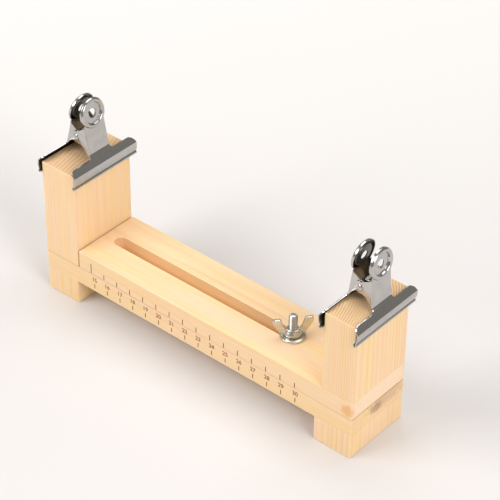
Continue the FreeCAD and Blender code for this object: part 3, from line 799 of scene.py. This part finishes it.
def jaw_sheet(neck, length, sheet):
    """The neck's plate, roof and band, bent from one sheet and cut to its outline."""
    rolled = curl()
    route = [(PLATE_OUT, 7.5), (PLATE_OUT, NECK_BEND_Z), RIDGE, TUCK, rolled[0]]
    bends = rounded(route, [1.3, 0.9, 1.2])
    points = [(x, -length / 2, z) for x, z in bends + rolled[1:]]
    piece = chain("jaw_sheet", points)
    bpy.ops.mesh.select_all(action="SELECT")
    bpy.ops.mesh.extrude_region_move(TRANSFORM_OT_translate={"value": (0, length, 0)})
    tidy_shell()
    done()
    modified(piece, "SOLIDIFY", thickness=sheet, offset=0)
    half = neck / 2 - 0.9
    bar = length / 2
    side = rounded([
        (half, 7.0), (half, SHOULDER_Z + SHOULDER_STEP), (bar, SHOULDER_Z), (bar, -30.0),
    ], [2.6, 4.0], 8)
    right = [(0, y, z) for y, z in side]
    left = [(0, -y, z) for y, z in reversed(side)]
    cutter = slab("jaw_outline", right + left, (1, 0, 0), 15)
    return combined(piece, cutter, "INTERSECT")


def jaw_channel(neck, sheet):
    """The folds at the neck's sides and the lugs that reach over the pivot pin."""
    side = neck / 2 - sheet / 2
    fold = 1.1
    arc = []
    for step in range(9):
        turn = math.radians(90 * step / 8)
        arc.append((PLATE_OUT - fold + fold * math.cos(turn), side - fold + fold * math.sin(turn)))
    route = [(PLATE_OUT, neck / 2 - 1.9)] + arc + [(-4.2, side)]
    piece = chain("jaw_lug", [(x, y, -12.4) for x, y in route])
    bpy.ops.mesh.select_all(action="SELECT")
    bpy.ops.mesh.extrude_region_move(TRANSFORM_OT_translate={"value": (0, 0, 19.4)})
    tidy_shell()
    done()
    modified(piece, "SOLIDIFY", thickness=sheet, offset=0)
    boss = 3.7
    outline = [(8, 6.6), (6.2, 5.9)]
    outline += [
        (boss * math.cos(math.radians(a)), boss * math.sin(math.radians(a)))
        for a in range(75, 286, 15)]
    outline += [(3.6, -5.0), (5.2, -7.2), (6.3, -9.8), (6.75, -11.4), (8, -11.4)]
    cutter = slab("lug_outline", [(x, 0, z) for x, z in outline], (0, 1, 0), 12)
    return combined(piece, cutter, "INTERSECT")


def jaw_ear(radius, sheet):
    """The round grip: a flat dished floor with a hole, inside a raised rolled rim."""
    edge = radius - sheet / 2
    route = rounded([
        (2.6, PLATE_OUT - 0.25), (3.2, PLATE_OUT), (radius - 2.7, PLATE_OUT), (radius - 2.2, PLATE_OUT + 1.4),
        (edge - 0.6, PLATE_OUT + 1.4), (edge, PLATE_OUT + 0.7), (edge, PLATE_OUT - 0.3),
    ], [0.4, 0.4, 0.6, 0.5, 0.3], 5)
    piece = lathe("jaw_ear", route, 72, closed=False)
    modified(piece, "SOLIDIFY", thickness=sheet, offset=0)
    only(piece)
    piece.matrix_world = Matrix.Translation((0, 0, EAR_UP)) @ Matrix.Rotation(math.pi / 2, 4, "Y")
    bpy.ops.object.transform_apply(location=True, rotation=True, scale=True)
    return piece


def jaw(name, neck, settings):
    """One pressed half with its ear, neck, lugs, roof, band and rolled lip."""
    sheet = settings.sheet / MM
    piece = jaw_sheet(neck / MM, settings.bar_length / MM, sheet)
    lug = jaw_channel(neck / MM, sheet)
    other = duplicated(lug)
    only(other)
    other.matrix_world = Matrix.Scale(-1, 4, (0, 1, 0))
    bpy.ops.object.transform_apply(location=True, rotation=True, scale=True)
    edit(other)
    bpy.ops.mesh.select_all(action="SELECT")
    bpy.ops.mesh.normals_make_consistent(inside=False)
    done()
    for part in (lug, other):
        combined(piece, part, "UNION")
    combined(piece, jaw_ear(settings.ear_radius / MM, sheet), "UNION")
    modified(
        piece, "BEVEL", width=0.09, segments=2, limit_method="ANGLE",
        angle_limit=math.radians(50), harden_normals=False)
    # Painted shade: faces turned inward take the darker nickel.
    for finish in ("nickel plate", "nickel inside"):
        piece.data.materials.append(bpy.data.materials[finish])
    edit(piece)
    pick(piece, "faces", lambda face: face.normal.x < -0.3 and face.calc_center_median().x > 3.5)
    piece.active_material_index = 1
    bpy.ops.object.material_slot_assign()
    done()
    return named(piece, name)


class JIG_OT_jaws(bpy.types.Operator):
    """Press the clips' jaws from sheet and set each at its grip"""
    bl_idname = "jig.jaws"
    bl_label = "Clip Jaws"

    def execute(self, context):
        settings = context.scene.jig_clip
        nickel = bpy.data.materials["nickel plate"]
        necks = {"outer": settings.outer_neck, "inner": settings.inner_neck}
        for kind, neck in necks.items():
            pattern = jaw("jaw_pattern", neck, settings)
            for side, (outer, inner) in GRIP_ANGLES.items():
                if kind == "outer":
                    turn = Matrix.Rotation(math.radians(-outer), 4, "Y")
                else:
                    turn = Matrix.Rotation(math.radians(inner), 4, "Y")
                    turn = turn @ Matrix.Rotation(math.pi, 4, "Z")
                piece = duplicated(pattern)
                named(piece, side + "_clip_" + kind + "_pressing")
                settled(piece, middle(side + "_clip_pin"), turn)
                smoothed(piece, 40)
                node = side + "_clip_" + kind + "_jaw"
                finished(piece, nickel, side + "_" + kind + "_jaw", "clip_steel", node)
            bpy.data.objects.remove(pattern)
        return {"FINISHED"}


class JIG_OT_pins(bpy.types.Operator):
    """Model the clips' riveted pivot pins"""
    bl_idname = "jig.pins"
    bl_label = "Clip Pins"

    def execute(self, context):
        for side in ("left", "right"):
            node = side + "_clip_pin"
            half = (high(node)[1] - low(node)[1]) / 2 / MM
            outline = [
                (0.01, half - 0.28), (0.75, half - 0.2), (1.15, half), (1.6, half - 0.08),
                (1.95, half - 0.45), (1.9, half - 0.6), (1.24, half - 0.6),
            ]
            outline += [(r, -z) for r, z in reversed(outline)]
            pin = lathe(side + "_pivot_rivet", outline, 40)
            settled(pin, middle(node), Matrix.Rotation(math.pi / 2, 4, "X"))
            smoothed(pin, 50)
            finished(pin, bpy.data.materials["nickel plate"], side + "_clip", "pin_steel", node)
        return {"FINISHED"}


class JIG_OT_springs(bpy.types.Operator):
    """Wind the clips' torsion springs"""
    bl_idname = "jig.springs"
    bl_label = "Clip Springs"

    def execute(self, context):
        settings = context.scene.jig_clip
        wire = settings.spring_wire / 2 / MM
        step = settings.spring_wire / MM * 1.02
        length = step * settings.spring_turns
        for side in ("left", "right"):
            node = side + "_clip_spring"
            bpy.ops.object.select_all(action="DESELECT")
            bpy.ops.mesh.primitive_circle_add(
                vertices=14, radius=wire, location=(0, COIL_RADIUS, -length / 2),
                rotation=(0, math.pi / 2, 0))
            spring = named(bpy.context.object, side + "_torsion_spring")
            bpy.ops.object.transform_apply(location=True, rotation=True, scale=True)
            modified(
                spring, "SCREW", axis="Z", angle=math.tau, screw_offset=step,
                iterations=settings.spring_turns, steps=36, render_steps=36, use_merge_vertices=False)
            edit(spring)
            for end in (-1, 1):
                height = end * length / 2
                pick(spring, "edges", lambda edge: edge.is_boundary and all(
                    abs(v.co.z - height) < wire + 0.05 for v in edge.verts))
                for out, up in LEG_RUNS:
                    bpy.ops.mesh.extrude_region_move(
                        TRANSFORM_OT_translate={"value": (end * out, up, 0)})
                bpy.ops.mesh.edge_face_add()
            bpy.ops.mesh.select_all(action="SELECT")
            bpy.ops.mesh.normals_make_consistent(inside=False)
            done()
            place = middle(side + "_clip_pin")
            settled(spring, place, Matrix.Rotation(math.pi / 2, 4, "X"))
            smoothed(spring, 60)
            finished(spring, bpy.data.materials["spring wire"], side + "_clip", "spring_wire", node)
        return {"FINISHED"}


# ---- Stage ------------------------------------------------------------------------------------------
def softbox(name, place, size, power, target=(0, 0, 0.03)):
    bpy.ops.object.select_all(action="DESELECT")
    bpy.ops.object.light_add(type="AREA", location=place)
    lamp = bpy.context.object
    lamp.name = name
    lamp.data.shape = "RECTANGLE"
    lamp.data.size, lamp.data.size_y = size
    lamp.data.energy = power
    lamp.rotation_euler = (Vector(place) - Vector(target)).to_track_quat("Z", "Y").to_euler()


class JIG_OT_stage(bpy.types.Operator):
    """Set the floor, the lights and the camera"""
    bl_idname = "jig.stage"
    bl_label = "Stage"

    def execute(self, context):
        stage = context.scene.jig_stage
        bpy.ops.object.select_all(action="DESELECT")
        bpy.ops.mesh.primitive_plane_add(size=8)
        floor = named(bpy.context.object, "floor")
        nodes = Nodes("floor paper")
        here = nodes.coords.outputs["Object"]
        tone = nodes.mix(nodes.noise(here, 3, 2.0), stage.floor, Vector(stage.floor) * 1.03)
        # Painted light: the floor is painted paler towards the back, standing in for the light pooling there.
        along = nodes.split(nodes.mapped(turn=(0, 0, math.radians(-40)), source=here))[1]
        painted_back_light = nodes.remap(along, 0.05, 0.5, 0.0, 1.0)
        nodes.link(nodes.mix(painted_back_light, tone, (0.93, 0.91, 0.89)), nodes.shader.inputs["Base Color"])
        nodes.shader.inputs["Roughness"].default_value = 0.65
        nodes.shader.inputs["Specular IOR Level"].default_value = 0.3
        floor.data.materials.append(nodes.material)
        softbox("front light", (-0.75, -1.15, 1.15), (1.1, 0.9), stage.key_power)
        softbox("side light", (1.45, -0.35, 0.95), (0.9, 0.8), stage.side_power)
        softbox("overhead light", (-0.15, 0.55, 1.6), (1.7, 1.2), stage.back_power)
        world = bpy.data.worlds.new("room")
        world.use_nodes = True
        background = world.node_tree.nodes["Background"]
        background.inputs["Color"].default_value = (1.0, 0.96, 0.91, 1)
        background.inputs["Strength"].default_value = stage.sky
        context.scene.world = world
        bpy.ops.object.select_all(action="DESELECT")
        bpy.ops.object.camera_add()
        camera = bpy.context.object
        camera.data.lens = 143.2
        camera.data.sensor_width = 36.0
        camera.data.clip_start = 0.01
        azimuth, elevation, roll = (math.radians(angle) for angle in (40.24, 37.28, 0.63))
        ahead = Vector((
            -math.sin(azimuth) * math.cos(elevation),
            math.cos(azimuth) * math.cos(elevation),
            -math.sin(elevation),
        ))
        level = ahead.cross(Vector((0, 0, 1))).normalized()
        upright = level.cross(ahead)
        right = level * math.cos(roll) + upright * math.sin(roll)
        upwards = right.cross(ahead)
        turn = Matrix((right, upwards, -ahead)).transposed().to_4x4()
        camera.matrix_world = Matrix.Translation((0.5685, -0.6453, 0.7246)) @ turn
        context.scene.camera = camera
        context.scene.view_settings.view_transform = "Standard"
        return {"FINISHED"}


class VIEW3D_PT_braiding_jig(bpy.types.Panel):
    """Lists the jig's pieces in the order they are made"""
    bl_label = "Braiding Jig"
    bl_space_type = "VIEW_3D"
    bl_region_type = "UI"
    bl_category = "Braiding Jig"

    def draw(self, context):
        for settings in SETTINGS:
            group = getattr(context.scene, settings)
            box = self.layout.box()
            for key in group.bl_rna.properties.keys():
                if key not in ("rna_type", "name"):
                    box.prop(group, key)
        for operator in STEPS:
            self.layout.operator(operator.bl_idname)


SETTINGS = {
    "jig_pine": JigPineSettings,
    "jig_marks": JigMarkSettings,
    "jig_clamp": JigClampSettings,
    "jig_clip": JigClipSettings,
    "jig_stage": JigStageSettings,
}
STEPS = (
    JIG_OT_stage,
    JIG_OT_pine,
    JIG_OT_numbers,
    JIG_OT_plating,
    JIG_OT_carriage_bolt,
    JIG_OT_washer,
    JIG_OT_wing_nut,
    JIG_OT_wood_screws,
    JIG_OT_jaws,
    JIG_OT_pins,
    JIG_OT_springs,
)
CLASSES = (*SETTINGS.values(), *STEPS, VIEW3D_PT_braiding_jig)


def register():
    for one in CLASSES:
        bpy.utils.register_class(one)
    for name, group in SETTINGS.items():
        setattr(bpy.types.Scene, name, PointerProperty(type=group))


def unregister():
    for name in SETTINGS:
        delattr(bpy.types.Scene, name)
    for one in reversed(CLASSES):
        bpy.utils.unregister_class(one)


def main():
    register()
    for operator in STEPS:
        family, action = operator.bl_idname.split(".")
        getattr(getattr(bpy.ops, family), action)()


if __name__ == "__main__":
    main()
